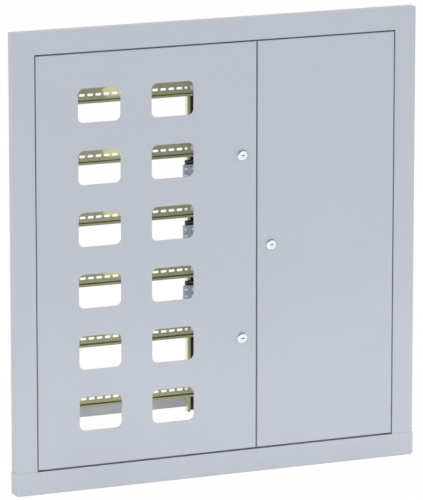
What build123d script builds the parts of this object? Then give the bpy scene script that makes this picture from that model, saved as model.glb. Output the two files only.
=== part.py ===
from build123d import *
import os

os.makedirs("parts", exist_ok=True)

# Floor distribution board: a flush frame with two doors over an open carrier of posts and rails.
# Millimetres. X runs to the right, Z up and Y into the wall. The origin is the middle of the wall
# fixings, on the back of the rear bars.

# Board
board_width = 936.0
board_height = 1000.0
board_depth = 158.5  # face of the frame to the back of the rear bars
sheet = 1.5  # steel sheet of the frame, doors, mullion and partition
bend = 1.0  # inside radius of the folds of the frame and doors

# Face frame
border = 48.8  # width of the visible face
frame_lip = 27.0  # outer edge folded back to the wall
rebate_depth = 28.0  # inner edge folded back past the doors
rebate_width = 18.0  # flange behind the doors
frame_corner = 4.5  # rounding of the two lower corners

# Doors
left_bay = 511.2  # edge of the opening to the middle of the gap between the doors
door_gap = 2.4
door_end_gap = 3.1  # above and below the doors
door_depth = 15.0  # depth of the folded door edges
window_width = 97.2
window_height = 73.6
window_corner = 13.0
window_columns = 2
window_rows = 6
window_column_pitch = 168.3
window_row_pitch = 134.0
window_grid_inset = 227.7  # hinge edge of the left door to the middle of its windows
window_grid_rise = 1.1

# Door pivots
pivot_inset = 11.0  # hinge edge of the door to the pivot
pivot_behind_face = 7.0
pin_diameter = 6.0
pin_beyond = 0.5  # end of a pin past the return of the frame
pin_play = 0.05  # radial, in the frame's return
hole_play = 0.15  # radial clearance of a plain hole

# Cam locks
left_lock_backset = 35.2  # middle of the gap between the doors to the lock
right_lock_backset = 33.0
lock_spread = 201.3  # of the two locks of the left door from the level of the right one
lock_rise = 1.0
bezel_diameter = 20.0
bezel_height = 5.0
bezel_edge = 2.2
barrel_diameter = 16.0
plug_diameter = 11.0
plug_play = 0.1
plug_recess = 0.5  # face of the plug below the face of the bezel
key_slot_width = 7.6
key_slot_height = 2.4
key_slot_depth = 10.0
lock_nut_width = 20.0
lock_nut_height = 4.0
cam_thickness = 2.0
cam_reach = 26.0  # plug to the end of the cam
cam_heel = 8.0  # cam past the plug on the other side
cam_width = 14.0
cam_square = 7.0
cam_gap = 1.4  # between the locked cam and the mullion
cam_end_play = 0.1  # between the plug's shoulder and the cam
barrel_end_gap = 0.3  # between the barrel and the cam
cam_nut_width = 10.0
cam_nut_height = 3.0

# Mullion and partition
mullion_width = 44.0
mullion_gap = 0.6  # between the door edges and the mullion
mullion_web_depth = 28.0
mullion_end_gap = 1.7  # to the frame, above and below
mullion_tab_width = 24.0
mullion_tab_overlap = 14.0  # height of the tab along the web
partition_flange = 20.0
partition_start = 14.0  # front edge behind the face of the mullion's strip

# Carrier
carrier_offset = 1.8  # middle of the rails, towards the hinge from the middle of the windows
rail_length = 417.3
rail_height = 35.0
rail_channel = 25.0  # inside width
rail_depth = 7.5
rail_sheet = 1.0
rail_drop = 4.1  # middle of the rails below the middle of the windows
slot_length = 13.6
slot_height = 5.4
slot_pitch = 18.9
rail_end_margin = 0.5
post_width = 30.0
post_depth = 15.0
post_mouth = 16.0
post_beyond_rail = 1.0
post_beyond_bar = 9.0
bar_height = 30.0
bar_sheet = 2.5
bar_inset = 84.2  # middle of a bar from the edge of the opening
wall_slot_length = 18.0
wall_slot_width = 9.0
wall_slot_inset = 81.2  # from the edge of the opening

# Bolts
bolt_neck = 5.0  # square neck through a slot
bolt_head_width = 8.0
bolt_head = 3.5
channel_foot_width = 22.0  # what lies behind the lips of a post
channel_foot_height = 10.0
channel_foot_thickness = 4.0

# Phase terminals
phase_rows = (1, 2, 3)  # below these rails, counted from the top
phase_drop = 48.6  # rail to the middle of the terminal
insulator_width = 43.8
insulator_height = 46.6
insulator_thickness = 8.0
insulator_base = 3.0  # thickness of its margin on the post
insulator_margin = 3.4
phase_bar_width = 59.2
phase_bar_height = 30.8
phase_bar_thickness = 8.5
phase_columns = 4
phase_column_pitch = 16.6
phase_row_pitch = 14.8
clamp_head_width = 7.0  # heads of the terminals' clamp screws
clamp_head = 3.0

# Neutral and earth bars
bus_bar_length = 80.0
bus_bar_width = 20.0
bus_bar_thickness = 8.0
bus_screw_count = 4
bus_screw_pitch = 13.0
bus_screw_head_width = 6.0
bus_screw_head = 2.4
bus_end_inset = 7.0
standoff_width = 19.0
standoff_length = 16.0


# Places worked out from the sizes above
y_face = -board_depth
half_width = board_width / 2
half_height = board_height / 2
open_x = half_width - border
open_z = half_height - border
split_x = -open_x + left_bay
left_door_x = (-open_x + door_gap, split_x - door_gap / 2)
right_door_x = (split_x + door_gap / 2, open_x - door_gap)
door_z = (-open_z + door_end_gap, open_z - door_end_gap)
left_pivot_x = left_door_x[0] + pivot_inset
right_pivot_x = right_door_x[1] - pivot_inset
pivot_y = y_face + pivot_behind_face
pin_reach = door_end_gap + sheet + pin_beyond  # pin standing out of the door's edge, where it is welded

grid_x = left_door_x[0] + window_grid_inset
column_x = [grid_x + (i - (window_columns - 1) / 2) * window_column_pitch for i in range(window_columns)]
row_z = [window_grid_rise + ((window_rows - 1) / 2 - i) * window_row_pitch for i in range(window_rows)]
rail_z = [z - rail_drop for z in row_z]
carrier_x = grid_x - carrier_offset

rebate_y = y_face + rebate_depth  # back of the flange behind the doors
mullion_y = y_face + door_depth + mullion_gap
cam_y = mullion_y + sheet + cam_gap
bar_y = -bar_sheet  # front of the rear bars
post_y = bar_y - post_depth  # front of the posts, back of the rails
web_y = post_y - rail_sheet  # front of the rails' webs
post_offset = rail_length / 2 + post_beyond_rail - post_width / 2
left_post_x = carrier_x - post_offset
right_post_x = carrier_x + post_offset
channel_foot_y = (post_y + sheet, post_y + sheet + channel_foot_thickness)
insulator_y = post_y - insulator_thickness  # fronts of the insulators and of the bars on them
phase_bar_y = insulator_y - phase_bar_thickness
neutral_seat_y = post_y - standoff_length  # the earth bar lies on the post itself
bar_z = open_z - bar_inset
post_half = bar_z + bar_height / 2 + post_beyond_bar
leg_x = open_x - rebate_width  # outer face of a bar's leg, in line with the flange
foot_bolt_x = open_x - rebate_width / 2

LOCKS = {
    "upper": (split_x - left_lock_backset, lock_rise + lock_spread),
    "lower": (split_x - left_lock_backset, lock_rise - lock_spread),
    "right": (split_x + right_lock_backset, lock_rise),
}
EVERY = 10000.0  # longer than anything here, for cuts that go right through


# Shapes that many pieces use
def block(x, y, z):
    """A box between two limits along each axis."""
    limits = (x, y, z)
    middle = [(low + high) / 2 for low, high in limits]
    return Pos(*middle) * Box(*[high - low for low, high in limits])


def ring(outer_x, outer_z, inner_x, inner_z, y):
    """A rectangular ring round the Y axis, from half sizes."""
    outer = block((-outer_x, outer_x), y, (-outer_z, outer_z))
    return outer - block((-inner_x, inner_x), (-EVERY, EVERY), (-inner_z, inner_z))


def rod_y(x, z, radius, y):
    """A round bar along Y."""
    return Pos(x, (y[0] + y[1]) / 2, z) * Rot(90, 0, 0) * Cylinder(radius, y[1] - y[0])


def rod_z(x, y, radius, z):
    """A round bar along Z."""
    return Pos(x, y, (z[0] + z[1]) / 2) * Cylinder(radius, z[1] - z[0])


def along_y(x, z, sketch, y):
    """A flat shape drawn in X and Z, carried along Y."""
    return Pos(x, y[1], z) * Rot(90, 0, 0) * extrude(sketch, amount=y[1] - y[0])


def folded(path, thickness):
    """Section of a sheet folded along a path, lying to the left of it."""
    near = [Vector(*point) for point in path]
    far = []
    for i, point in enumerate(near):
        runs = []
        if i > 0:
            runs.append((point - near[i - 1]).normalized())
        if i < len(near) - 1:
            runs.append((near[i + 1] - point).normalized())
        lefts = [Vector(-run.Y, run.X) for run in runs]
        if len(lefts) == 1:
            far.append(point + lefts[0] * thickness)
        else:
            far.append(point + (lefts[0] + lefts[1]) * (thickness / (1 + lefts[0].dot(lefts[1]))))
    return make_face(Polyline(*near, *far[::-1], close=True))


def hexagon(width):
    return RegularPolygon(width / 2, 6, major_radius=False)


def head_y(x, z, seat, width, height):
    """Hexagon head in front of the plane y = seat."""
    return along_y(x, z, hexagon(width), (seat - height, seat))


def edges_at(edges, axis, place):
    """The edges that lie wholly on a plane across an axis."""
    return edges.filter_by_position(axis, place - 0.01, place + 0.01)


def holes_y(places, radius):
    """Round cuts along Y."""
    return [rod_y(x, z, radius, (-EVERY, EVERY)) for x, z in places]


def save(name, *pieces):
    """One file for each node; like fasteners share one as separate solids."""
    solids = [solid for piece in pieces for solid in piece.solids()]
    export_step(solids[0] if len(solids) == 1 else Compound(children=solids), f"parts/{name}.step")


# Places of the fixings
foot_bolts = [(side * foot_bolt_x, level * bar_z) for side in (-1, 1) for level in (-1, 1)]
rail_bolts = [(x, z) for z in rail_z for x in (left_post_x, right_post_x)]
phase_z = [rail_z[row] - phase_drop for row in phase_rows]
insulator_foot_z = (insulator_height - channel_foot_height) / 2
clamp_screws = [
    ((i - (phase_columns - 1) / 2) * phase_column_pitch, step * phase_row_pitch / 2)
    for i in range(phase_columns) for step in (-1, 1)
]
neutral_z = (rail_z[1] + rail_z[2]) / 2
earth_z = (rail_z[3] + rail_z[4]) / 2
bus_bolts = [step * (bus_bar_length / 2 - bus_end_inset) for step in (-1, 1)]
bus_screws = [(i - (bus_screw_count - 1) / 2) * bus_screw_pitch for i in range(bus_screw_count)]
mullion_half = open_z - mullion_end_gap
partition_x = split_x + sheet / 2
cover_bottom = -half_height - sheet


def face_frame():
    """Four folded sides welded into one frame: lip, face, return and flange behind the doors."""
    frame = ring(half_width, half_height, open_x, open_z, (y_face, y_face + sheet))
    frame += ring(half_width, half_height, half_width - sheet, half_height - sheet, (y_face, y_face + frame_lip))
    frame += ring(open_x + sheet, open_z + sheet, open_x, open_z, (y_face, rebate_y))
    frame += ring(open_x + sheet, open_z + sheet, open_x - rebate_width, open_z - rebate_width,
                  (rebate_y - sheet, rebate_y))
    frame = fillet(edges_at(frame.edges().filter_by(Axis.Y), Axis.Z, -half_height), frame_corner)
    frame = fillet(edges_at(frame.edges(), Axis.Y, y_face), bend + sheet / 2)
    reach = open_z + 2 * sheet
    for x in (left_pivot_x, right_pivot_x):
        frame -= rod_z(x, pivot_y, pin_diameter / 2 + pin_play, (-reach, reach))
    return frame


def lower_cover():
    """Folded strip pushed over the bottom rail, standing one sheet proud of the frame all round."""
    x = half_width + sheet
    outer = block((-x, x), (y_face - sheet, y_face + frame_lip), (cover_bottom, -open_z))
    outer = fillet(edges_at(outer.edges().filter_by(Axis.Y), Axis.Z, cover_bottom), frame_corner + sheet)
    inner = block((-half_width, half_width), (y_face, EVERY), (-half_height, EVERY))
    return outer - fillet(edges_at(inner.edges().filter_by(Axis.Y), Axis.Z, -half_height), frame_corner)


def door(x, locks, windows):
    """Sheet with its four edges folded back, lock holes and any windows."""
    outer = block(x, (y_face, y_face + door_depth), door_z)
    outer = fillet(edges_at(outer.edges(), Axis.Y, y_face), bend + sheet)
    inner = block((x[0] + sheet, x[1] - sheet), (y_face + sheet, EVERY), (door_z[0] + sheet, door_z[1] - sheet))
    inner = fillet(edges_at(inner.edges(), Axis.Y, y_face + sheet), bend)
    panel = outer - inner - holes_y([LOCKS[name] for name in locks], barrel_diameter / 2 + hole_play)
    opening = RectangleRounded(window_width, window_height, window_corner)
    for place in windows:
        panel -= along_y(*place, opening, (y_face - sheet, y_face + door_depth))
    return panel


def pivot_pin(x, side):
    """Pin welded on the door's edge; side is +1 at the top and -1 at the bottom."""
    pin = rod_z(x, pivot_y, pin_diameter / 2, (door_z[1], door_z[1] + pin_reach))
    return pin if side > 0 else mirror(pin, about=Plane.XY)


def lock_body(x, z):
    """Round bezel and barrel, bored for the plug, with the hexagon nut behind the door's sheet."""
    bore = plug_diameter / 2 + plug_play
    rim = bezel_diameter / 2
    barrel = barrel_diameter / 2
    front = y_face - bezel_height
    back = cam_y - barrel_end_gap
    profile = Polyline(
        (bore, front), (rim - bezel_edge, front), (rim, front + bezel_edge), (rim, y_face),
        (barrel, y_face), (barrel, back), (bore, back), close=True,
    )
    body = Pos(x, 0, z) * revolve(make_face(profile), axis=Axis.Y)
    nut = hexagon(lock_nut_width) - Circle((bore + barrel) / 2)
    return body + along_y(x, z, nut, (y_face + sheet, y_face + sheet + lock_nut_height))


def lock_plug(x, z):
    """Turning core with the key slot in front and a square tail for the cam behind."""
    front = y_face - bezel_height + plug_recess
    shoulder = cam_y - cam_end_play
    tail = cam_y + cam_thickness
    core = rod_y(x, z, plug_diameter / 2, (front, shoulder))
    core += along_y(x, z, Rectangle(cam_square, cam_square), (shoulder, tail))
    return core - along_y(x, z, Rectangle(key_slot_width, key_slot_height), (front, front + key_slot_depth))


def lock_cam(x, z):
    """Flat lever with a square hole, hanging down while the lock is open."""
    blank = Pos(0, (cam_heel - cam_reach) / 2) * Rectangle(cam_width, cam_heel + cam_reach)
    hole = cam_square + 2 * plug_play
    return along_y(x, z, blank - Rectangle(hole, hole), (cam_y, cam_y + cam_thickness))


def lock_cam_nut(x, z):
    """Hexagon on the end of the plug's tail, holding the cam on its square."""
    back = cam_y + cam_thickness + cam_nut_height
    return head_y(x, z, back, cam_nut_width, cam_nut_height)


def mullion():
    """Upright strip behind the gap, for the doors to close on and the cams to hook behind."""
    x = (split_x - mullion_width / 2, split_x + mullion_width / 2)
    return block(x, (mullion_y, mullion_y + sheet), (-mullion_half, mullion_half))


def mullion_web():
    """Sheet on edge, welded to the back of the strip."""
    back = mullion_y + sheet
    half = mullion_half - rebate_width
    return block((split_x - sheet / 2, split_x + sheet / 2), (back, back + mullion_web_depth), (-half, half))


def mullion_tab(side):
    """Tab welded to the web and to the flange of the frame; side is +1 at the top and -1 at the bottom."""
    x = split_x - sheet / 2
    z = (mullion_half - rebate_width - mullion_tab_overlap, mullion_half)
    tab = block((x - mullion_tab_width, x), (rebate_y, rebate_y + sheet), z)
    return tab if side > 0 else mirror(tab, about=Plane.XY)


def partition():
    """Sheet between the two bays, with a flange against the rear bars."""
    front = mullion_y + partition_start
    path = [(partition_x + sheet + partition_flange, bar_y), (partition_x, bar_y), (partition_x, front)]
    half = mullion_half - rebate_width
    return Pos(0, 0, -half) * extrude(folded(path, sheet), amount=2 * half)


def rear_bar(level):
    """Flat steel bent into a wide hat: feet on the frame's flange, legs, and a bar with wall slots."""
    foot_x = open_x - door_gap
    path = [(-foot_x, rebate_y), (-leg_x, rebate_y), (-leg_x, bar_y), (leg_x, bar_y), (leg_x, rebate_y),
            (foot_x, rebate_y)]
    bar = Pos(0, 0, level * bar_z - bar_height / 2) * extrude(folded(path, bar_sheet), amount=bar_height)
    slot = SlotOverall(wall_slot_length, wall_slot_width)
    for side in (-1, 1):
        bar -= along_y(side * (open_x - wall_slot_inset), level * bar_z, slot, (2 * bar_y, -bar_y))
    return bar


def post(x):
    """C profile with its mouth to the front."""
    side, mouth = post_width / 2, post_mouth / 2
    path = [(x + mouth, post_y), (x + side, post_y), (x + side, bar_y), (x - side, bar_y), (x - side, post_y),
            (x - mouth, post_y)]
    return Pos(0, 0, -post_half) * extrude(folded(path, sheet), amount=2 * post_half)


def din_rail(z):
    """Hat rail with its lips to the front and a row of slots in the web."""
    lip, channel = rail_height / 2, rail_channel / 2
    front = post_y - rail_depth
    path = [(front, lip), (front, channel), (web_y, channel), (web_y, -channel), (front, -channel), (front, -lip)]
    rail = Pos(carrier_x - rail_length / 2, 0, z) * extrude(Plane.YZ * folded(path, rail_sheet), amount=rail_length)
    count = int((rail_length - 2 * rail_end_margin) / slot_pitch)
    for i in range(count):
        x = carrier_x + (i - (count - 1) / 2) * slot_pitch
        rail -= along_y(x, z, Rectangle(slot_length, slot_height), (web_y - rail_sheet, post_y + rail_sheet))
    return rail


def channel_foot(x, z, seat):
    """Foot that grips the lips of a post from behind, with a square neck out through the mouth to its seat."""
    neck = along_y(x, z, Rectangle(channel_foot_height, channel_foot_height), (seat, channel_foot_y[0]))
    return neck + along_y(x, z, Rectangle(channel_foot_width, channel_foot_height), channel_foot_y)


def rail_bolt(x, z):
    """Hammer-head bolt of a rail: foot behind the lips, square neck through a slot, hexagon in front."""
    neck = along_y(x, z, Rectangle(bolt_neck, bolt_neck), (web_y, post_y))
    return head_y(x, z, web_y, bolt_head_width, bolt_head) + neck + channel_foot(x, z, post_y)


def phase_insulator(z):
    """Moulded plate with a thin margin above and below and two feet that grip the post; carries the bar."""
    margin = Rectangle(insulator_width, insulator_height)
    middle = Rectangle(insulator_width, insulator_height - 2 * insulator_margin)
    plate = along_y(right_post_x, z, margin, (post_y - insulator_base, post_y))
    plate += along_y(right_post_x, z, middle, (insulator_y, post_y))
    for step in (-1, 1):
        plate += channel_foot(right_post_x, z + step * insulator_foot_z, post_y)
    return plate


def phase_bar(z):
    return along_y(right_post_x, z, Rectangle(phase_bar_width, phase_bar_height), (phase_bar_y, insulator_y))


def bus_bar(z, seat):
    """Upright bar of clamps at the left post."""
    return along_y(left_post_x, z, Rectangle(bus_bar_width, bus_bar_length), (seat - bus_bar_thickness, seat))


def standoff(z):
    """Hexagon insulator moulded with a foot that grips the post."""
    body = along_y(left_post_x, z, hexagon(standoff_width), (neutral_seat_y, post_y))
    return body + channel_foot(left_post_x, z, post_y)


# Frame, cover and doors
save("face_frame", face_frame())
save("lower_cover", lower_cover())
save("left_door", door(left_door_x, ("upper", "lower"), [(x, z) for z in row_z for x in column_x]))
save("right_door", door(right_door_x, ("right",), []))
save("left_door_pivot_pins", pivot_pin(left_pivot_x, 1), pivot_pin(left_pivot_x, -1))
save("right_door_pivot_pins", pivot_pin(right_pivot_x, 1), pivot_pin(right_pivot_x, -1))

# Locks
save("left_lock_bodies", lock_body(*LOCKS["upper"]), lock_body(*LOCKS["lower"]))
save("right_lock_body", lock_body(*LOCKS["right"]))
for name, place in LOCKS.items():
    save(f"{name}_lock_plug", lock_plug(*place))
    save(f"{name}_lock_cam", lock_cam(*place))
    save(f"{name}_lock_cam_nut", lock_cam_nut(*place))

# Mullion, partition and carrier
save("mullion", mullion())
save("mullion_web", mullion_web(), mullion_tab(1), mullion_tab(-1))
save("partition", partition())
save("upper_rear_bar", rear_bar(1))
save("lower_rear_bar", rear_bar(-1))
save("bar_bolts", *[head_y(x, z, rebate_y - sheet, bolt_head_width, bolt_head) for x, z in foot_bolts])
save("left_post", post(left_post_x))
save("right_post", post(right_post_x))
for i, z in enumerate(rail_z, start=1):
    save(f"din_rail_{i}", din_rail(z))
save("rail_bolts", *[rail_bolt(x, z) for x, z in rail_bolts])

# Phase terminals
for i, z in enumerate(phase_z, start=1):
    save(f"phase_insulator_{i}", phase_insulator(z))
    save(f"phase_bar_{i}", phase_bar(z))
save("phase_bar_screws", *[
    head_y(right_post_x + dx, z + dz, phase_bar_y, clamp_head_width, clamp_head)
    for z in phase_z for dx, dz in clamp_screws
])

# Neutral and earth bars
save("neutral_bar", bus_bar(neutral_z, neutral_seat_y))
save("earth_bar", bus_bar(earth_z, post_y))
save("neutral_standoffs", *[standoff(neutral_z + step) for step in bus_bolts])
bus_fronts = ((neutral_z, neutral_seat_y - bus_bar_thickness), (earth_z, post_y - bus_bar_thickness))
save("bus_bar_screws", *[
    head_y(left_post_x, z + step, front, bus_screw_head_width, bus_screw_head)
    for z, front in bus_fronts for step in bus_screws
])
save("bus_bar_bolts", *[
    head_y(left_post_x, z + step, front, bolt_head_width, bolt_head)
    for z, front in bus_fronts for step in bus_bolts
])
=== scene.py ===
import math

import bmesh
import bpy
from mathutils import Matrix, Vector


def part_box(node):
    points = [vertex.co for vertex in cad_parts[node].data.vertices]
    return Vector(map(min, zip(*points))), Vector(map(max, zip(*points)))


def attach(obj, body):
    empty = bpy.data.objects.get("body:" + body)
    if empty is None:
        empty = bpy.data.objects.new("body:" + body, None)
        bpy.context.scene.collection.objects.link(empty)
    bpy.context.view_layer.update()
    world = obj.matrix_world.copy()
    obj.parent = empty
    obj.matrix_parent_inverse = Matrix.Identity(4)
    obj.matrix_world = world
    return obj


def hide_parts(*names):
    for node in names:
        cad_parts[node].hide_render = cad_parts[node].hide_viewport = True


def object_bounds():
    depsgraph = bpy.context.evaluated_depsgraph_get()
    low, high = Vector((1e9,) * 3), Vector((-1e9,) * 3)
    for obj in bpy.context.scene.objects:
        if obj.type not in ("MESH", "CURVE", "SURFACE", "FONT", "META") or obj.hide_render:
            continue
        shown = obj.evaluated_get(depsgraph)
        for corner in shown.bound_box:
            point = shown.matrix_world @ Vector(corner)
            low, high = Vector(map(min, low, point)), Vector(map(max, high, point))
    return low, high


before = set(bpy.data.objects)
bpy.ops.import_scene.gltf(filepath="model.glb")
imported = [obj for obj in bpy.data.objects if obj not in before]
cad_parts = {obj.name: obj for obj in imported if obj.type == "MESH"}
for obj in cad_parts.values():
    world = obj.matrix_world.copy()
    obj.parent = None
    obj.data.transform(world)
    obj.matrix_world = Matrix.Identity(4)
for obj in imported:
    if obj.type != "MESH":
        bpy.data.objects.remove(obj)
cad_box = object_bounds()

# Studio: the board stands on a wide pale floor under a white sky, with soft lamps high on the left, in
# front, low along the cover and behind. Floor and sky show white to the camera and in the metal, and a
# grey cloth, hung overhead and down at the left, shades the upper edges of the locks.
floor_reach = 40
floor_shade = 0.03  # share of the floor's own shading that the camera sees
cloth_middle = (-0.3, -0.85, 2.0)
cloth_half = (3.3, 1.25)
cloth_drop = 1.5
scene = bpy.context.scene
scene.view_settings.view_transform = "Standard"


def seen_directly(tree):
    """1 for what the camera, a mirror or a clear sheet sees, 0 for light that falls on the board."""
    path = tree.nodes.new("ShaderNodeLightPath")
    total = path.outputs["Is Camera Ray"]
    for kind in ("Is Glossy Ray", "Is Transmission Ray"):
        joined = tree.nodes.new("ShaderNodeMath")
        joined.operation = "MAXIMUM"
        tree.links.new(total, joined.inputs[0])
        tree.links.new(path.outputs[kind], joined.inputs[1])
        total = joined.outputs[0]
    return total


sky = bpy.data.worlds.new("white_sky")
sky.use_nodes = True
scene.world = sky
sky_tree = sky.node_tree
sky_tree.nodes.clear()
daylight = sky_tree.nodes.new("ShaderNodeBackground")
daylight.inputs["Color"].default_value = (0.96, 0.98, 1.0, 1)
daylight.inputs["Strength"].default_value = 0.87
backdrop = sky_tree.nodes.new("ShaderNodeBackground")
backdrop.inputs["Color"].default_value = (1, 1, 1, 1)
backdrop.inputs["Strength"].default_value = 1.0
sky_mix = sky_tree.nodes.new("ShaderNodeMixShader")
sky_out = sky_tree.nodes.new("ShaderNodeOutputWorld")
sky_tree.links.new(seen_directly(sky_tree), sky_mix.inputs["Fac"])
sky_tree.links.new(daylight.outputs[0], sky_mix.inputs[1])
sky_tree.links.new(backdrop.outputs[0], sky_mix.inputs[2])
sky_tree.links.new(sky_mix.outputs[0], sky_out.inputs["Surface"])

floor_mesh = bpy.data.meshes.new("studio_floor")
bm = bmesh.new()
bmesh.ops.create_grid(bm, x_segments=1, y_segments=1, size=floor_reach,
                      matrix=Matrix.Translation((0, 0, cad_box[0].z)))
bm.to_mesh(floor_mesh)
bm.free()
floor = bpy.data.objects.new("studio_floor", floor_mesh)
scene.collection.objects.link(floor)

floor_paint = bpy.data.materials.new("pale_floor")
floor_paint.use_nodes = True
floor_tree = floor_paint.node_tree
floor_tree.nodes.clear()
floor_matt = floor_tree.nodes.new("ShaderNodeBsdfDiffuse")
floor_matt.inputs["Color"].default_value = (0.9, 0.9, 0.9, 1)
floor_white = floor_tree.nodes.new("ShaderNodeEmission")
floor_white.inputs["Strength"].default_value = 1.0
floor_shadow = floor_tree.nodes.new("ShaderNodeMixShader")
floor_shadow.inputs["Fac"].default_value = floor_shade
floor_mix = floor_tree.nodes.new("ShaderNodeMixShader")
floor_out = floor_tree.nodes.new("ShaderNodeOutputMaterial")
floor_tree.links.new(floor_white.outputs[0], floor_shadow.inputs[1])
floor_tree.links.new(floor_matt.outputs[0], floor_shadow.inputs[2])
floor_tree.links.new(seen_directly(floor_tree), floor_mix.inputs["Fac"])
floor_tree.links.new(floor_matt.outputs[0], floor_mix.inputs[1])
floor_tree.links.new(floor_shadow.outputs[0], floor_mix.inputs[2])
floor_tree.links.new(floor_mix.outputs[0], floor_out.inputs["Surface"])
floor_mesh.materials.append(floor_paint)

for name, place, aim, width, height, power, tint in (
        ("high_lamp", (-4.6, -1.4, 3.6), (0, 0, 0), 3.0, 3.0, 25, (1.0, 0.92, 0.80)),
        ("front_lamp", (1.5, -4.0, 0.2), (0, 0, 0), 3.0, 3.0, 19, (1.0, 1.0, 1.0)),
        ("low_lamp", (0, -0.65, -0.474), (0, 0, -0.474), 2.4, 0.05, 1.15, (1.0, 0.94, 0.84)),
        ("rear_lamp", (0, 2.6, 0.5), (0, 0, 0), 3.0, 2.0, 25, (1.0, 0.97, 0.88)),
        ("sill_lamp", (-0.05, 0.10, -0.47), (-0.05, -0.157, -0.40), 0.8, 0.05, 0.5, (1.0, 0.96, 0.84))):
    lamp_data = bpy.data.lights.new(name, "AREA")
    lamp_data.shape = "RECTANGLE"
    lamp_data.size = width
    lamp_data.size_y = height
    lamp_data.energy = power
    lamp_data.color = tint
    lamp = bpy.data.objects.new(name, lamp_data)
    lamp.location = place
    lamp.rotation_euler = (Vector(aim) - Vector(place)).to_track_quat("-Z", "Y").to_euler()
    lamp.visible_camera = False
    lamp.visible_glossy = False
    scene.collection.objects.link(lamp)


def carried(bm, edges, vector):
    """Draws new sheet out from some edges, along a vector."""
    made = bmesh.ops.extrude_edge_only(bm, edges=edges)["geom"]
    bmesh.ops.translate(bm, verts=[v for v in made if isinstance(v, bmesh.types.BMVert)], vec=vector)


flag_mesh = bpy.data.meshes.new("studio_flag")
bm = bmesh.new()
bmesh.ops.create_grid(bm, x_segments=1, y_segments=1, size=1,
                      matrix=Matrix.Translation(cloth_middle) @ Matrix.Diagonal((*cloth_half, 1, 1)))
left_edge = min(bm.edges, key=lambda e: e.verts[0].co.x + e.verts[1].co.x)
carried(bm, [left_edge], (0, 0, -cloth_drop))
bm.to_mesh(flag_mesh)
bm.free()
flag = bpy.data.objects.new("studio_flag", flag_mesh)
flag.visible_camera = False
flag.visible_diffuse = False
flag.visible_shadow = False
scene.collection.objects.link(flag)
grey_cloth = bpy.data.materials.new("grey_cloth")
grey_cloth.use_nodes = True
cloth_shader = grey_cloth.node_tree.nodes["Principled BSDF"]
cloth_shader.inputs["Base Color"].default_value = (0.22, 0.23, 0.255, 1)
cloth_shader.inputs["Roughness"].default_value = 0.9
flag_mesh.materials.append(grey_cloth)

# Camera: a long lens to the left of the board and a little above it, as the photograph was taken.
# The focal length is worked out in pixels of the 500 pixel high picture.
picture_height = 500
focal_pixels = 4606
azimuth = math.radians(-23.34)
elevation = math.radians(11.97)
back = Vector((math.sin(azimuth) * math.cos(elevation), -math.cos(azimuth) * math.cos(elevation),
               math.sin(elevation)))
camera_data = bpy.data.cameras.new("camera")
camera_data.sensor_width = 36
camera_data.lens = focal_pixels * camera_data.sensor_width / picture_height
camera_data.clip_end = 200
camera = bpy.data.objects.new("camera", camera_data)
camera.location = (-3.8546, -9.0569, 2.0550)
camera.rotation_euler = back.to_track_quat("Z", "Y").to_euler()
scene.collection.objects.link(camera)
scene.camera = camera

# Face frame: four lengths of folded steel sheet welded into one frame and powder coated pale blue-grey.
# Each has a lip back to the wall, a flat face, a return past the doors and a flange behind them.
sheet = 0.0015
fold = 0.0018
border = 0.0488
rebate_width = 0.018
frame_corner = 0.0045
sharp_angle = 32  # degrees between two faces that keep a crisp edge
sill_drop = 0.0009  # the lower edge of the opening, below its even place
frame_low, frame_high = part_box("face_frame")
frame_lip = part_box("lower_cover")[1].y - frame_low.y


def new_finish(name):
    """An empty surface: the material, its tree and its shader."""
    material = bpy.data.materials.new(name)
    material.use_nodes = True
    return material, material.node_tree, material.node_tree.nodes["Principled BSDF"]


def speckle(tree, scale, detail=2.0, stretch=(1, 1, 1)):
    """Noise over the piece's own place, so many grains to the metre."""
    place = tree.nodes.new("ShaderNodeTexCoord")
    drawn = tree.nodes.new("ShaderNodeMapping")
    drawn.inputs["Scale"].default_value = stretch
    grains = tree.nodes.new("ShaderNodeTexNoise")
    grains.inputs["Scale"].default_value = scale
    grains.inputs["Detail"].default_value = detail
    tree.links.new(place.outputs["Object"], drawn.inputs["Vector"])
    tree.links.new(drawn.outputs["Vector"], grains.inputs["Vector"])
    return grains.outputs[0]


def between(tree, amount, low, high):
    """A number from low to high that follows the grains."""
    spread = tree.nodes.new("ShaderNodeMapRange")
    spread.inputs["From Min"].default_value = 0.3
    spread.inputs["From Max"].default_value = 0.7
    spread.inputs["To Min"].default_value = low
    spread.inputs["To Max"].default_value = high
    tree.links.new(amount, spread.inputs["Value"])
    return spread.outputs[0]


def tints(tree, amount, low, high):
    """A colour from low to high that follows the grains."""
    ramp = tree.nodes.new("ShaderNodeValToRGB")
    ramp.color_ramp.elements[0].position = 0.3
    ramp.color_ramp.elements[0].color = (*low, 1)
    ramp.color_ramp.elements[1].position = 0.7
    ramp.color_ramp.elements[1].color = (*high, 1)
    tree.links.new(amount, ramp.inputs["Fac"])
    return ramp.outputs["Color"]


def relief(tree, amount, strength, depth):
    """The small ups and downs of a surface."""
    bump = tree.nodes.new("ShaderNodeBump")
    bump.inputs["Strength"].default_value = strength
    bump.inputs["Distance"].default_value = depth
    tree.links.new(amount, bump.inputs["Height"])
    return bump.outputs["Normal"]


powder_coat, tree, shader = new_finish("grey_powder_coat")
tree.links.new(tints(tree, speckle(tree, 5, 3), (0.520, 0.546, 0.602), (0.534, 0.560, 0.615)),
               shader.inputs["Base Color"])
tree.links.new(between(tree, speckle(tree, 45), 0.42, 0.50), shader.inputs["Roughness"])
tree.links.new(relief(tree, speckle(tree, 700, 1), 0.06, 0.0004), shader.inputs["Normal"])


def facing_front(x, y, z, width=1.0, height=1.0):
    """Lays a flat shape in the X-Z plane, facing the front."""
    upright = Matrix.Rotation(math.radians(90), 4, "X")
    return Matrix.Translation((x, y, z)) @ upright @ Matrix.Diagonal((width, height, 1, 1))


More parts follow.
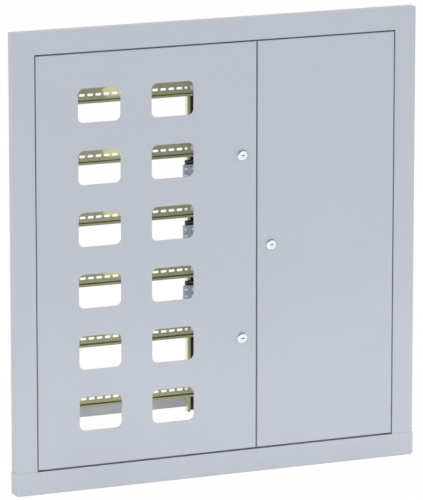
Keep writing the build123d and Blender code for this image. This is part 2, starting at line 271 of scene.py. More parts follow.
def front_plate(bm, low, high, y):
    """A plain rectangle facing the front, from two corners (x, z)."""
    made = bmesh.ops.create_grid(bm, x_segments=1, y_segments=1, size=0.5, matrix=facing_front(
        (low[0] + high[0]) / 2, y, (low[1] + high[1]) / 2, high[0] - low[0], high[1] - low[1]))
    return made["verts"][0].link_faces[0]


def rounded(bm, edges, radius, segments=4):
    """Rounds some edges, or chamfers them when there is one segment."""
    bmesh.ops.bevel(bm, geom=edges, offset=radius, offset_type="OFFSET", segments=segments, profile=0.5,
                    affect="EDGES", clamp_overlap=True, material=-1)


def folds(bm, angle=60):
    """The edges where the sheet turns sharply."""
    return [e for e in bm.edges if len(e.link_faces) == 2 and e.calc_face_angle() > math.radians(angle)]


def face_folds(bm, angle=60):
    """The sharp folds that run along the front, not from front to back."""
    return [e for e in folds(bm, angle) if abs(e.verts[0].co.y - e.verts[1].co.y) < 1e-5]


def lower_corners(bm, z):
    """The edges from front to back at the two lowest corners."""
    return [e for e in bm.edges if all(v.co.z < z + 1e-5 for v in e.verts)
            and abs(e.verts[0].co.x - e.verts[1].co.x) < 1e-5]


def thickened(bm, thickness, outward):
    """Turns the skin's outer side outward, as its largest face tells, and gives it thickness inward."""
    bmesh.ops.recalc_face_normals(bm, faces=bm.faces[:])
    largest = max(bm.faces, key=lambda f: f.calc_area())
    if largest.normal.dot(Vector(outward)) < 0:
        bmesh.ops.reverse_faces(bm, faces=bm.faces[:])
    bmesh.ops.solidify(bm, geom=bm.faces[:], thickness=thickness)


def made_piece(name, bm, finishes, body, nodes):
    """Turns a finished bmesh into a piece that rides on a body and stands for CAD nodes."""
    mesh = bpy.data.meshes.new(name)
    bm.to_mesh(mesh)
    bm.free()
    for finish in finishes:
        mesh.materials.append(finish)
    mesh.shade_smooth()
    mesh.set_sharp_from_angle(angle=math.radians(sharp_angle))
    piece = bpy.data.objects.new(name, mesh)
    scene.collection.objects.link(piece)
    evened = piece.modifiers.new("even_shading", "WEIGHTED_NORMAL")
    evened.keep_sharp = True
    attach(piece, body)
    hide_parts(*nodes)


bm = bmesh.new()
face = front_plate(bm, (frame_low.x, frame_low.z), (frame_high.x, frame_high.z), frame_low.y)
bmesh.ops.inset_region(bm, faces=[face], thickness=border, use_even_offset=True, use_boundary=True)
bmesh.ops.translate(bm, verts=[v for v in face.verts if v.co.z < 0], vec=(0, 0, -sill_drop))
rim = [e for e in bm.edges if e.is_boundary]
face = bmesh.ops.extrude_discrete_faces(bm, faces=[face])["faces"][0]
bmesh.ops.translate(bm, verts=face.verts, vec=(0, frame_high.y - sheet - frame_low.y, 0))
bmesh.ops.inset_region(bm, faces=[face], thickness=rebate_width, use_even_offset=True, use_boundary=True)
bmesh.ops.delete(bm, geom=[face], context="FACES_ONLY")
carried(bm, rim, (0, frame_lip, 0))
rounded(bm, lower_corners(bm, frame_low.z), frame_corner, 6)
rounded(bm, face_folds(bm, 40), fold)
thickened(bm, sheet, (0, -1, 0))
made_piece("frame_sheet", bm, [powder_coat], "board", ["face_frame"])

# Lower cover: a folded strip of the same coated sheet, pushed up over the bottom rail of the frame.
# It stands one sheet proud of the frame, so its upper edge shows as a fine step.
cover_corner = 0.006
cover_low, cover_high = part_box("lower_cover")
bm = bmesh.new()
front_plate(bm, (cover_low.x, cover_low.z), (cover_high.x, cover_high.z), cover_low.y)
carried(bm, [e for e in bm.edges if any(v.co.z < cover_low.z + 1e-5 for v in e.verts)],
        (0, cover_high.y - cover_low.y, 0))
rounded(bm, lower_corners(bm, cover_low.z), cover_corner, 6)
rounded(bm, face_folds(bm, 40), fold)
thickened(bm, sheet, (0, -1, 0))
made_piece("cover_sheet", bm, [powder_coat], "board", ["lower_cover"])

# Doors: two coated steel sheets with all four edges folded back. The left one has two columns of six
# punched windows for the breakers and two lock holes; the right one is blank with one lock hole.
door_fold = 0.0022
meeting_gap = 0.003
window_width = 0.0972
window_height = 0.0736
window_corner = 0.013
window_inset = 0.2277  # hinge edge of the left door to the middle of its windows
window_rise = 0.0011
column_pitch = 0.1683
row_pitch = 0.134
barrel_hole = 0.00815
lock_places = {"upper": (0.0568, 0.2023), "lower": (0.0568, -0.2003), "right": (0.1250, 0.0010)}
door_low, door_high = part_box("left_door")
right_door_low, right_door_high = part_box("right_door")
split_x = (door_high.x + right_door_low.x) / 2
window_x = [door_low.x + window_inset + (column - 0.5) * column_pitch for column in range(2)]
window_z = [window_rise + (2.5 - row) * row_pitch for row in range(6)]


def rounded_outline(bm, x, y, z, width, height, corner, segments):
    """A flat rectangle with round corners, facing the front."""
    face = front_plate(bm, (x - width / 2, z - height / 2), (x + width / 2, z + height / 2), y)
    bmesh.ops.bevel(bm, geom=face.verts[:], offset=corner, offset_type="OFFSET", segments=segments,
                    profile=0.5, affect="VERTICES", clamp_overlap=True, material=-1)


def rounded_hole(bm, x, y, z, width, height, corner, segments=6):
    """The edges of a rounded rectangle, with no face in it."""
    known = set(bm.edges)
    rounded_outline(bm, x, y, z, width, height, corner, segments)
    loop = [e for e in bm.edges if e not in known]
    bmesh.ops.delete(bm, geom=list({f for e in loop for f in e.link_faces}), context="FACES_ONLY")
    return loop


def round_hole(bm, x, y, z, radius, segments=32):
    """The edges of a circle, with no face in it."""
    known = set(bm.edges)
    bmesh.ops.create_circle(bm, cap_ends=False, segments=segments, radius=radius,
                            matrix=facing_front(x, y, z))
    return [e for e in bm.edges if e not in known]


def punched(bm, face, holes):
    """Takes a face out and puts it back with holes in it."""
    edges = face.edges[:]
    normal = face.normal.copy()
    bmesh.ops.delete(bm, geom=[face], context="FACES_ONLY")
    for hole in holes:
        edges.extend(hole)
    bmesh.ops.triangle_fill(bm, use_beauty=True, use_dissolve=False, edges=edges, normal=normal)


for door, left_x, right_x, locks, windows in (
        ("left_door", door_low.x, split_x - meeting_gap / 2, ("upper", "lower"),
         [(x, z) for z in window_z for x in window_x]),
        ("right_door", split_x + meeting_gap / 2, right_door_high.x, ("right",), [])):
    low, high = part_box(door)
    bm = bmesh.new()
    front_plate(bm, (left_x, low.z), (right_x, high.z), low.y)
    carried(bm, bm.edges[:], (0, high.y - low.y, 0))
    rounded(bm, face_folds(bm), door_fold)
    holes = []
    for lock in locks:
        x, z = lock_places[lock]
        holes.append(round_hole(bm, x, low.y, z, barrel_hole))
    for x, z in windows:
        holes.append(rounded_hole(bm, x, low.y, z, window_width, window_height, window_corner, 9))
    punched(bm, max(bm.faces, key=lambda f: f.calc_area()), holes)
    thickened(bm, sheet, (0, -1, 0))
    made_piece(door + "_sheet", bm, [powder_coat], door, [door])

# Rails: six lengths of top-hat mounting rail, rolled from thin steel strip with a row of slots, plated with
# yellow zinc bright enough to mirror the back of the door. The channel's inner walls are painted dark as
# shade.
rail_sheet = 0.001
rail_fold = 0.00012
rail_lip = 0.005
slot_length = 0.0136
slot_height = 0.0054
slot_corner = 0.49 * slot_height
slot_pitch = 0.0189
slot_count = 22
least_wall = 0.001  # square metres

yellow_zinc, tree, shader = new_finish("yellow_zinc")
shader.inputs["Metallic"].default_value = 1.0
tree.links.new(tints(tree, speckle(tree, 16, 3, (0.3, 1, 1)), (0.575, 0.562, 0.330), (0.605, 0.588, 0.360)),
               shader.inputs["Base Color"])
tree.links.new(between(tree, speckle(tree, 60, 3), 0.07, 0.13), shader.inputs["Roughness"])
tree.links.new(relief(tree, speckle(tree, 500, 2, (0.08, 1, 1)), 0.02, 0.0001), shader.inputs["Normal"])

# Dark zinc for the pivot pins, also painted on the hollows of the rails and posts as shade.
dull_zinc_and_painted_shade, tree, shader = new_finish("dull_zinc_and_painted_shade")
shader.inputs["Metallic"].default_value = 0.6
tree.links.new(tints(tree, speckle(tree, 40, 3, (1, 1, 0.2)), (0.090, 0.080, 0.040), (0.145, 0.130, 0.068)),
               shader.inputs["Base Color"])
tree.links.new(between(tree, speckle(tree, 90, 3), 0.45, 0.65), shader.inputs["Roughness"])
tree.links.new(relief(tree, speckle(tree, 700, 2), 0.08, 0.0002), shader.inputs["Normal"])


def folded_strip(bm, path, sweep, radius, segments=3):
    """Sheet folded along a path of points, carried along a vector."""
    points = [bm.verts.new(point) for point in path]
    carried(bm, [bm.edges.new(pair) for pair in zip(points, points[1:])], sweep)
    rounded(bm, [e for e in bm.edges if len(e.link_faces) == 2], radius, segments)


for number in range(1, 7):
    low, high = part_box(f"din_rail_{number}")
    web = high.y - rail_sheet
    level = (low.z + high.z) / 2
    middle = (low.x + high.x) / 2
    bm = bmesh.new()
    folded_strip(bm, [(low.x, low.y, high.z), (low.x, low.y, high.z - rail_lip),
                      (low.x, web, high.z - rail_lip), (low.x, web, low.z + rail_lip),
                      (low.x, low.y, low.z + rail_lip), (low.x, low.y, low.z)],
                 (high.x - low.x, 0, 0), rail_fold)
    slots_x = [middle + (i - (slot_count - 1) / 2) * slot_pitch for i in range(slot_count)]
    holes = [rounded_hole(bm, x, web, level, slot_length, slot_height, slot_corner, 5) for x in slots_x]
    punched(bm, max(bm.faces, key=lambda f: f.calc_area()), holes)
    thickened(bm, rail_sheet, (0, -1, 0))
    channel_half = high.z - level - rail_lip + rail_sheet / 2
    # Painted shade: the inner walls of the channel take the dark zinc.
    for face in bm.faces:
        rise = face.calc_center_median().z - level
        is_wall = abs(face.normal.z) > 0.9 and face.calc_area() > least_wall
        if is_wall and abs(rise) < channel_half and face.normal.z * rise < 0:
            face.material_index = 1
    made_piece(f"rail_{number}", bm, [yellow_zinc, dull_zinc_and_painted_shade], "board", [f"din_rail_{number}"])

# Posts: two C-section uprights of yellow zinc strip, mouth to the front, that carry the rails and are
# welded to the rear bars. Inside the channel they are painted dark as shade, and the outer sides take a
# paler zinc as a painted highlight.
post_mouth = 0.016
post_fold = 0.0022

# A paler copy of the yellow zinc, painted on the outer side walls as a highlight.
painted_highlight_zinc, tree, shader = new_finish("painted_highlight_zinc")
shader.inputs["Metallic"].default_value = 1.0
tree.links.new(tints(tree, speckle(tree, 20, 3, (1, 1, 0.3)), (0.80, 0.79, 0.64), (0.84, 0.83, 0.69)),
               shader.inputs["Base Color"])
tree.links.new(between(tree, speckle(tree, 70, 3), 0.10, 0.18), shader.inputs["Roughness"])
tree.links.new(relief(tree, speckle(tree, 500, 2, (1, 1, 0.1)), 0.02, 0.0001), shader.inputs["Normal"])

for side in ("left", "right"):
    low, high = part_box(side + "_post")
    middle = (low.x + high.x) / 2
    bm = bmesh.new()
    folded_strip(bm, [(middle + post_mouth / 2, low.y, low.z), (high.x, low.y, low.z),
                      (high.x, high.y, low.z), (low.x, high.y, low.z),
                      (low.x, low.y, low.z), (middle - post_mouth / 2, low.y, low.z)],
                 (0, 0, high.z - low.z), post_fold)
    thickened(bm, sheet, (0, 1, 0))
    half_x = (high.x - low.x) / 2
    half_y = (high.y - low.y) / 2
    # Painted shade inside the channel, painted highlight on the outer side walls.
    for face in bm.faces:
        centre = face.calc_center_median()
        off_x = abs(centre.x - middle)
        off_y = abs(centre.y - (low.y + high.y) / 2)
        if off_x < half_x - 0.6 * sheet and off_y < half_y - 0.6 * sheet:
            face.material_index = 1
        elif abs(face.normal.x) > 0.9 and off_x >= half_x - 0.1 * sheet:
            face.material_index = 2
    made_piece(side + "_upright", bm, [yellow_zinc, dull_zinc_and_painted_shade, painted_highlight_zinc], "board",
               [side + "_post"])

# Mullion: an upright strip of coated sheet behind the gap between the doors, with a web on edge welded to
# its back and a tab at each end welded to the flange of the frame. The cams of the locks hook behind it.
tab_overlap = 0.014
sheet_edge = 0.0003


def eased_block(bm, low, high, edge, segments=2):
    """A block between two corners, with its edges eased."""
    low, high = Vector(low), Vector(high)
    made = bmesh.ops.create_cube(bm, size=1, matrix=Matrix.Translation((low + high) / 2)
                                 @ Matrix.Diagonal((*(high - low), 1)))
    rounded(bm, list({e for v in made["verts"] for e in v.link_edges}), edge, segments)


bm = bmesh.new()
low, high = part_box("mullion")
eased_block(bm, low, high, sheet_edge)
made_piece("mullion_strip", bm, [powder_coat], "board", ["mullion"])

bm = bmesh.new()
low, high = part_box("mullion_web")
web_end = high.z - rebate_width
eased_block(bm, (high.x - sheet, low.y, -web_end), (high.x, high.y, web_end), sheet_edge)
for end in (-1, 1):
    near, far = sorted((end * (web_end - tab_overlap), end * high.z))
    eased_block(bm, (low.x, frame_high.y, near), (high.x - sheet, frame_high.y + sheet, far), sheet_edge)
made_piece("mullion_rib", bm, [powder_coat], "board", ["mullion_web"])

# Partition: a coated sheet between the two bays, with one edge folded into a flange that is welded to the
# rear bars.
bm = bmesh.new()
low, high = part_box("partition")
folded_strip(bm, [(high.x, high.y, low.z), (low.x, high.y, low.z), (low.x, low.y, low.z)],
             (0, 0, high.z - low.z), fold)
thickened(bm, sheet, (-1, 0, 0))
made_piece("partition_sheet", bm, [powder_coat], "board", ["partition"])

# Rear bars: two lengths of flat steel bent into wide hats and plated with plain grey zinc. Their feet are
# bolted to the flange of the frame, and a slot near each end takes a wall bolt.
bar_sheet = 0.0025
bar_fold = 0.003
wall_slot_x = 0.338
wall_slot = (0.018, 0.009)
wall_slot_corner = 0.0044

plain_zinc, tree, shader = new_finish("plain_zinc")
shader.inputs["Metallic"].default_value = 1.0
tree.links.new(tints(tree, speckle(tree, 30, 4), (0.66, 0.67, 0.68), (0.72, 0.73, 0.74)),
               shader.inputs["Base Color"])
tree.links.new(between(tree, speckle(tree, 70, 3), 0.32, 0.44), shader.inputs["Roughness"])
tree.links.new(relief(tree, speckle(tree, 600, 2), 0.08, 0.0003), shader.inputs["Normal"])

for level in ("upper", "lower"):
    low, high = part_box(level + "_rear_bar")
    leg = frame_high.x - border - rebate_width
    front = high.y - bar_sheet
    middle = (low.z + high.z) / 2
    bm = bmesh.new()
    folded_strip(bm, [(low.x, low.y, low.z), (-leg, low.y, low.z), (-leg, front, low.z),
                      (leg, front, low.z), (leg, low.y, low.z), (high.x, low.y, low.z)],
                 (0, 0, high.z - low.z), bar_fold)
    holes = [rounded_hole(bm, side * wall_slot_x, front, middle, *wall_slot, wall_slot_corner)
             for side in (-1, 1)]
    punched(bm, max(bm.faces, key=lambda f: f.calc_area()), holes)
    thickened(bm, bar_sheet, (0, -1, 0))
    made_piece(level + "_bar", bm, [plain_zinc], "board", [level + "_rear_bar"])

# Bolts: zinc-plated hexagon bolts, four with washers through the flange of the frame, and a flanged one at
# each end of each rail, whose hammer-shaped foot grips the lips of the post from behind.
bolt_width = 0.008
washer_radius = 0.0056
washer_thickness = 0.0008
flange_height = 0.0014
flange_top = 0.0047
flange_foot = 0.0073
shank_half = 0.0025
foot_half_width = 0.011
foot_half_height = 0.005
foot_thickness = 0.004

bright_zinc, tree, shader = new_finish("bright_zinc")
shader.inputs["Metallic"].default_value = 1.0
tree.links.new(tints(tree, speckle(tree, 120, 3), (0.60, 0.60, 0.59), (0.70, 0.70, 0.69)),
               shader.inputs["Base Color"])
tree.links.new(between(tree, speckle(tree, 200, 3), 0.20, 0.34), shader.inputs["Roughness"])
tree.links.new(relief(tree, speckle(tree, 1500, 2), 0.05, 0.0001), shader.inputs["Normal"])

bright_screw, tree, shader = new_finish("bright_screw")
shader.inputs["Metallic"].default_value = 1.0
tree.links.new(tints(tree, speckle(tree, 200, 3), (0.90, 0.90, 0.89), (0.95, 0.95, 0.94)),
               shader.inputs["Base Color"])
tree.links.new(between(tree, speckle(tree, 400, 3), 0.16, 0.28), shader.inputs["Roughness"])


def disc(bm, x, z, front, rear, front_radius, rear_radius, segments):
    """A plain disc or cone across Y."""
    return bmesh.ops.create_cone(bm, cap_ends=True, segments=segments, radius1=rear_radius,
                                 radius2=front_radius, depth=rear - front,
                                 matrix=facing_front(x, (front + rear) / 2, z))["verts"]


def hexagon(bm, x, z, front, rear, width, edge=0.0004):
    """A hexagon across Y with eased edges, standing on two corners as the nuts here do."""
    corner = width / math.sqrt(3)
    made = bmesh.ops.create_cone(bm, cap_ends=True, segments=6, radius1=corner, radius2=corner,
                                 depth=rear - front, matrix=facing_front(x, (front + rear) / 2, z)
                                 @ Matrix.Rotation(math.radians(30), 4, "Z"))
    rounded(bm, list({e for v in made["verts"] for e in v.link_edges}), edge, 2)


def washer(bm, x, z, front, rear, radius):
    """A flat washer across Y with its rims eased."""
    made = disc(bm, x, z, front, rear, radius, radius, 28)
    rims = [e for e in {e for v in made for e in v.link_edges} if e.calc_face_angle() > 1]
    rounded(bm, rims, 0.0002, 2)


def hammer_foot(bm, x, z, start, rear, shank, edge):
    """A square shank from start, and the foot at rear that grips the lips of a post."""
    eased_block(bm, (x - shank, start, z - shank), (x + shank, rear - foot_thickness / 2, z + shank), edge)
    eased_block(bm, (x - foot_half_width, rear - foot_thickness, z - foot_half_height),
                (x + foot_half_width, rear, z + foot_half_height), 0.0004)


bm = bmesh.new()
low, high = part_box("bar_bolts")
for x in (low.x + bolt_width / math.sqrt(3), high.x - bolt_width / math.sqrt(3)):
    for z in (low.z + bolt_width / 2, high.z - bolt_width / 2):
        hexagon(bm, x, z, low.y, high.y - washer_thickness, bolt_width)
        washer(bm, x, z, high.y - washer_thickness, high.y, washer_radius)
made_piece("frame_bolts", bm, [bright_zinc], "board", ["bar_bolts"])

bm = bmesh.new()
low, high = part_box("rail_bolts")
post_low, post_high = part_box("left_post")
right_post_low, right_post_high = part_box("right_post")
for number in range(1, 7):
    rail_low, rail_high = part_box(f"din_rail_{number}")
    web = rail_high.y - rail_sheet
    z = (rail_low.z + rail_high.z) / 2
    for x in ((post_low.x + post_high.x) / 2, (right_post_low.x + right_post_high.x) / 2):
        hexagon(bm, x, z, low.y, web - flange_height, bolt_width)
        disc(bm, x, z, web - flange_height, web, flange_top, flange_foot, 40)
        hammer_foot(bm, x, z, web, high.y, shank_half, 0.0002)
made_piece("hammer_bolts", bm, [bright_screw], "board", ["rail_bolts"])

# Phase terminals: three black moulded insulators gripped on the right post, their upper ledge painted pale
# as a highlight. Each has a tinned bar on its front, dull on its sides, and two rows of slotted clamp
# screws.
insulator_edge = 0.0008
insulator_base = 0.003
insulator_margin = 0.0034
moulded_shank = 0.005
foot_root = 0.002
bar_edge = 0.0006
screw_radius = 0.0035
screw_head = 0.003
screw_columns = 4
screw_pitch = (0.0166, 0.0148)

black_moulding, tree, shader = new_finish("black_moulding")
tree.links.new(tints(tree, speckle(tree, 40, 3), (0.012, 0.012, 0.013), (0.022, 0.022, 0.024)),
               shader.inputs["Base Color"])
tree.links.new(between(tree, speckle(tree, 200, 2), 0.16, 0.26), shader.inputs["Roughness"])
tree.links.new(relief(tree, speckle(tree, 1200, 2), 0.10, 0.0002), shader.inputs["Normal"])

# A pale grey copy of the black moulding, painted on the upper ledge as a highlight.
painted_highlight_moulding, tree, shader = new_finish("painted_highlight_moulding")
tree.links.new(tints(tree, speckle(tree, 90, 4), (0.34, 0.35, 0.37), (0.42, 0.43, 0.45)),
               shader.inputs["Base Color"])
tree.links.new(between(tree, speckle(tree, 200, 2), 0.34, 0.46), shader.inputs["Roughness"])
tree.links.new(relief(tree, speckle(tree, 1200, 2), 0.10, 0.0002), shader.inputs["Normal"])

tinned_bar, tree, shader = new_finish("tinned_bar")
shader.inputs["Metallic"].default_value = 1.0
tree.links.new(tints(tree, speckle(tree, 60, 3), (0.60, 0.64, 0.70), (0.68, 0.72, 0.77)),
               shader.inputs["Base Color"])
tree.links.new(between(tree, speckle(tree, 150, 3), 0.30, 0.42), shader.inputs["Roughness"])
tree.links.new(relief(tree, speckle(tree, 900, 2, (0.1, 1, 1)), 0.05, 0.0002), shader.inputs["Normal"])

# Dull dark steel for the sides of the phase bars, also painted in the key slots as shade.
dull_metal_and_painted_shade, tree, shader = new_finish("dull_metal_and_painted_shade")
shader.inputs["Metallic"].default_value = 1.0
tree.links.new(tints(tree, speckle(tree, 90, 3), (0.34, 0.36, 0.40), (0.42, 0.44, 0.48)),
               shader.inputs["Base Color"])
tree.links.new(between(tree, speckle(tree, 200, 3), 0.34, 0.46), shader.inputs["Roughness"])
tree.links.new(relief(tree, speckle(tree, 900, 2), 0.05, 0.0002), shader.inputs["Normal"])


def slotted_screw(radius, height):
    """A round head in front of y = 0, with a groove across it."""
    head = bmesh.new()
    groove = 0.16 * radius
    disc(head, 0, 0, -height, 0, radius, radius, 24)
    rounded(head, [e for e in head.edges if all(v.co.y < -height + 1e-6 for v in e.verts)], 0.5 * height)
    for cut in (-groove, groove):
        cap = [f for f in head.faces if f.normal.y < -0.99]
        bmesh.ops.bisect_plane(head, geom=cap + list({e for f in cap for e in f.edges}
                                                     | {v for f in cap for v in f.verts}),
                               plane_co=(0, 0, cut), plane_no=(0, 0, 1))
    across = [f for f in head.faces if f.normal.y < -0.99 and abs(f.calc_center_median().z) < groove]
    sunk = bmesh.ops.extrude_discrete_faces(head, faces=across)["faces"]
    bmesh.ops.translate(head, verts=sunk[0].verts, vec=(0, 0.4 * height, 0))
    mesh = bpy.data.meshes.new("screw_pattern")
    head.to_mesh(mesh)
    head.free()
    return mesh


def add_screw(bm, pattern, x, y, z, turn):
    """One more screw of a pattern, its groove turned by some degrees."""
    known = set(bm.verts)
    bm.from_mesh(pattern)
    fresh = [v for v in bm.verts if v not in known]
    bmesh.ops.rotate(bm, verts=fresh, cent=(0, 0, 0), matrix=Matrix.Rotation(math.radians(turn), 3, "Y"))
    bmesh.ops.translate(bm, verts=fresh, vec=(x, y, z))


clamp_screw = slotted_screw(screw_radius, screw_head)
screws = bmesh.new()
for number in (1, 2, 3):
    low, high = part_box(f"phase_insulator_{number}")
    front_low, front_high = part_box(f"phase_bar_{number}")
    x = (front_low.x + front_high.x) / 2
    z = (front_low.z + front_high.z) / 2
    base_front = post_low.y - insulator_base
    bm = bmesh.new()
    eased_block(bm, (low.x, base_front, low.z), (high.x, post_low.y, high.z), insulator_edge, 3)
    eased_block(bm, (low.x, front_high.y, low.z + insulator_margin),
                (high.x, post_low.y - insulator_base / 2, high.z - insulator_margin), insulator_edge, 3)
    for end in (low.z + foot_half_height, high.z - foot_half_height):
        hammer_foot(bm, x, end, post_low.y - foot_root, high.y, moulded_shank, 0.0004)
    # Painted highlight: the upward faces of the ledge take the pale grey moulding.
    for face in bm.faces:
        if face.normal.z > 0.9 and front_high.y < face.calc_center_median().y < base_front:
            face.material_index = 1
    made_piece(f"phase_block_{number}", bm, [black_moulding, painted_highlight_moulding], "board",
               [f"phase_insulator_{number}"])
    bm = bmesh.new()
    eased_block(bm, front_low, front_high, bar_edge, 3)
    for face in bm.faces:
        if abs(face.normal.x) > 0.5:
            face.material_index = 1
    made_piece(f"phase_strip_{number}", bm, [tinned_bar, dull_metal_and_painted_shade], "board",
               [f"phase_bar_{number}"])
    for column in range(screw_columns):
        across = (column - (screw_columns - 1) / 2) * screw_pitch[0]
        for row in (-1, 1):
            add_screw(screws, clamp_screw, x + across, front_low.y, z + row * screw_pitch[1] / 2,
                      37 * (column + 3 * row + 5 * number) % 180)
made_piece("phase_clamps", screws, [bright_screw], "board", ["phase_bar_screws"])

# Neutral and earth bars: two upright brass bars at the left post with cross holes for the wires and a
# screw over each hole. The neutral bar stands on two black insulators, the earth bar on the post.
wire_hole = 0.0025
wire_count = 4
wire_pitch = 0.013
bus_end = 0.007  # end of a bar to its bolt
bus_edge = 0.0005
bus_bolt_head = 0.0035
bus_screw_radius = 0.003
bus_screw_head = 0.0024
standoff_width = 0.019

brass, tree, shader = new_finish("plain_brass")
shader.inputs["Metallic"].default_value = 1.0
tree.links.new(tints(tree, speckle(tree, 50, 3), (0.66, 0.48, 0.20), (0.76, 0.58, 0.27)),
               shader.inputs["Base Color"])
tree.links.new(between(tree, speckle(tree, 120, 3), 0.22, 0.36), shader.inputs["Roughness"])
tree.links.new(relief(tree, speckle(tree, 700, 2, (1, 1, 0.05)), 0.06, 0.0002), shader.inputs["Normal"])

bus_screw = slotted_screw(bus_screw_radius, bus_screw_head)
screws = bmesh.new()
bolts = bmesh.new()
for name in ("neutral", "earth"):
    low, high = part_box(name + "_bar")
    middle = (low + high) / 2
    wires_z = [middle.z + (i - (wire_count - 1) / 2) * wire_pitch for i in range(wire_count)]
    bm = bmesh.new()
    side = front_plate(bm, (low.y, low.z), (high.y, high.z), 0)
    punched(bm, side, [round_hole(bm, middle.y, 0, z, wire_hole, 24) for z in wires_z])
    thickened(bm, high.x - low.x, (0, -1, 0))
    rounded(bm, [e for e in folds(bm, 80) if e.calc_length() > 0.006], bus_edge, 2)
    bmesh.ops.rotate(bm, verts=bm.verts[:], cent=(0, 0, 0), matrix=Matrix.Rotation(math.radians(90), 3, "Z"))
    bmesh.ops.translate(bm, verts=bm.verts[:], vec=(high.x, 0, 0))
    made_piece(name + "_clamp_bar", bm, [brass], "board", [name + "_bar"])
    for i, z in enumerate(wires_z):
        add_screw(screws, bus_screw, middle.x, low.y, z, 51 * i % 180)
    for end in (low.z + bus_end, high.z - bus_end):
        hexagon(bolts, middle.x, end, low.y - bus_bolt_head, low.y - washer_thickness, bolt_width)
        washer(bolts, middle.x, end, low.y - washer_thickness, low.y, washer_radius)
made_piece("bus_clamps", screws, [bright_screw], "board", ["bus_bar_screws"])
made_piece("bus_bolts", bolts, [bright_zinc], "board", ["bus_bar_bolts"])

bm = bmesh.new()
low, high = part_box("neutral_standoffs")
bar_low, bar_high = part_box("neutral_bar")
x = (bar_low.x + bar_high.x) / 2
for end in (bar_low.z + bus_end, bar_high.z - bus_end):
    hexagon(bm, x, end, low.y, post_low.y, standoff_width, insulator_edge)
    hammer_foot(bm, x, end, post_low.y - foot_root, high.y, moulded_shank, 0.0004)
made_piece("neutral_feet", bm, [black_moulding], "board", ["neutral_standoffs"])

# Cam locks: a turned satin chrome bezel and barrel held by a hexagon nut behind the door, and a plug that
# turns in it, the walls of its key slot painted dark as shade. A flat zinc-plated cam sits on the plug's
# square tail under a nut.
bezel_radius = 0.0118
bezel_edge = 0.0022
barrel_radius = 0.008
bore = 0.0056
bore_edge = 0.0004
lock_nut_width = 0.020
lock_nut_height = 0.004
plug_radius = 0.0055
key_slot = (0.0076, 0.0024)
key_corner = 0.0003
key_depth = 0.010
tail_half = 0.0035
tail_root = 0.001
cam_corner = 0.0055
cam_square = 0.0072
cam_nut_width = 0.010
bezel_low, bezel_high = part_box("right_lock_body")
plug_low, plug_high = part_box("right_lock_plug")
cam_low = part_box("right_lock_cam")[0]

satin_chrome, tree, shader = new_finish("satin_chrome")
shader.inputs["Metallic"].default_value = 1.0
tree.links.new(tints(tree, speckle(tree, 150, 3), (0.87, 0.92, 0.965), (0.91, 0.955, 0.995)),
               shader.inputs["Base Color"])
tree.links.new(between(tree, speckle(tree, 300, 3), 0.08, 0.16), shader.inputs["Roughness"])
tree.links.new(relief(tree, speckle(tree, 1500, 2), 0.03, 0.0001), shader.inputs["Normal"])


def turned(bm, x, z, profile, steps=56):
    """A round piece about the Y axis through x and z, from a closed run of (radius, y)."""
    points = [bm.verts.new((x + radius, y, z)) for radius, y in profile]
    edges = [bm.edges.new(pair) for pair in zip(points, points[1:] + points[:1])]
    bmesh.ops.spin(bm, geom=points + edges, cent=(x, 0, z), axis=(0, 1, 0), dvec=(0, 0, 0),
                   angle=math.tau, steps=steps, use_merge=True)
    bmesh.ops.remove_doubles(bm, verts=bm.verts[:], dist=1e-7)
    bmesh.ops.recalc_face_normals(bm, faces=bm.faces[:])


def lock_body(bm, x, z):
    """A bezel and barrel in one, its front edges broken, with the nut that holds it in the door."""
    seat = door_low.y
    turned(bm, x, z, [(bore, bezel_low.y), (bezel_radius, bezel_low.y), (bezel_radius, seat),
                      (barrel_radius, seat), (barrel_radius, bezel_high.y), (bore, bezel_high.y)])
    for edge, radius, steps in ((bezel_edge, bezel_radius, 1), (bore_edge, bore, 3)):
        rim = [e for e in folds(bm) if all(v.co.y < seat - 0.003 for v in e.verts) and all(
            abs(math.hypot(v.co.x - x, v.co.z - z) - radius) < 1e-5 for v in e.verts)]
        rounded(bm, rim, edge, steps)
    hexagon(bm, x, z, seat + sheet, seat + sheet + lock_nut_height, lock_nut_width, 0.0006)


for name, door, node, locks in (("left_bezels", "left_door", "left_lock_bodies", ("upper", "lower")),
                                ("right_bezel", "right_door", "right_lock_body", ("right",))):
    bm = bmesh.new()
    for lock in locks:
        lock_body(bm, *lock_places[lock])
    made_piece(name, bm, [satin_chrome], door, [node])

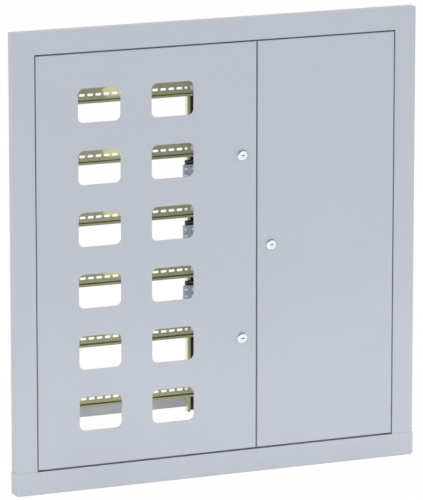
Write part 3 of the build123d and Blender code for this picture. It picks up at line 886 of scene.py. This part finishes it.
for name, (x, z) in lock_places.items():
    lock = name + "_lock"
    bm = bmesh.new()
    rim = round_hole(bm, x, plug_low.y, z, plug_radius, 48)
    slot = rounded_hole(bm, x, plug_low.y, z, *key_slot, key_corner, 2)
    bmesh.ops.triangle_fill(bm, use_beauty=True, use_dissolve=False, edges=rim + slot, normal=(0, -1, 0))
    carried(bm, rim, (0, cam_low.y - plug_low.y, 0))
    carried(bm, slot, (0, key_depth, 0))
    bmesh.ops.holes_fill(bm, edges=[e for e in bm.edges if e.is_boundary], sides=0)
    bmesh.ops.recalc_face_normals(bm, faces=bm.faces[:])
    # Painted shade: the walls of the key slot take the dull dark steel.
    for face in bm.faces:
        centre = face.calc_center_median()
        past_slot = max(abs(centre.x - x) - key_slot[0] / 2, abs(centre.z - z) - key_slot[1] / 2)
        depth = centre.y - plug_low.y
        if past_slot < 1e-6 and 1e-6 < depth < key_depth + 1e-6:
            face.material_index = 1
    eased_block(bm, (x - tail_half, cam_low.y - tail_root, z - tail_half),
                (x + tail_half, plug_high.y, z + tail_half), 0.0002)
    made_piece(name + "_plug", bm, [satin_chrome, dull_metal_and_painted_shade], lock, [lock + "_plug"])
    bm = bmesh.new()
    low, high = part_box(lock + "_cam")
    rounded_outline(bm, (low.x + high.x) / 2, low.y, (low.z + high.z) / 2, high.x - low.x, high.z - low.z,
                    cam_corner, 6)
    punched(bm, bm.faces[:][0], [rounded_hole(bm, x, low.y, z, cam_square, cam_square, key_corner, 2)])
    thickened(bm, high.y - low.y, (0, -1, 0))
    made_piece(name + "_lever", bm, [bright_zinc], lock, [lock + "_cam"])
    bm = bmesh.new()
    low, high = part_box(lock + "_cam_nut")
    hexagon(bm, x, z, low.y, high.y, cam_nut_width)
    made_piece(name + "_lever_nut", bm, [bright_zinc], lock, [lock + "_cam_nut"])

# Pivots: short steel pins with dull zinc plating, welded to the upper and lower edge of each door, which
# turn in holes in the return of the frame.
for name in ("left_door_pivot_pins", "right_door_pivot_pins"):
    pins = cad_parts[name].data
    pins.materials.clear()
    pins.materials.append(dull_zinc_and_painted_shade)

# Earth studs: a zinc-plated steel stud welded low on the back of each door, with a washer and a nut that
# clamp the earth lead.
stud_inset = 0.060  # hinge edge and lower edge of the door to the stud
stud_radius = 0.003
stud_length = 0.013
stud_tip = (0.0022, 0.0008)  # radius and length of the tapered end
stud_washer = (0.0012, 0.0022)  # front and back of the washer, from the door's sheet
stud_washer_radius = 0.006
stud_nut_height = 0.005
stud_nut_width = 0.010
seat = door_low.y + sheet
for side, x in (("left", door_low.x + stud_inset), ("right", right_door_high.x - stud_inset)):
    z = door_low.z + stud_inset
    bm = bmesh.new()
    turned(bm, x, z, [(0.0, seat), (stud_radius, seat), (stud_radius, seat + stud_length - stud_tip[1]),
                      (stud_tip[0], seat + stud_length), (0.0, seat + stud_length)], 28)
    washer(bm, x, z, seat + stud_washer[0], seat + stud_washer[1], stud_washer_radius)
    hexagon(bm, x, z, seat + stud_washer[1], seat + stud_washer[1] + stud_nut_height, stud_nut_width)
    made_piece(side + "_stud", bm, [bright_zinc], side + "_door", [])
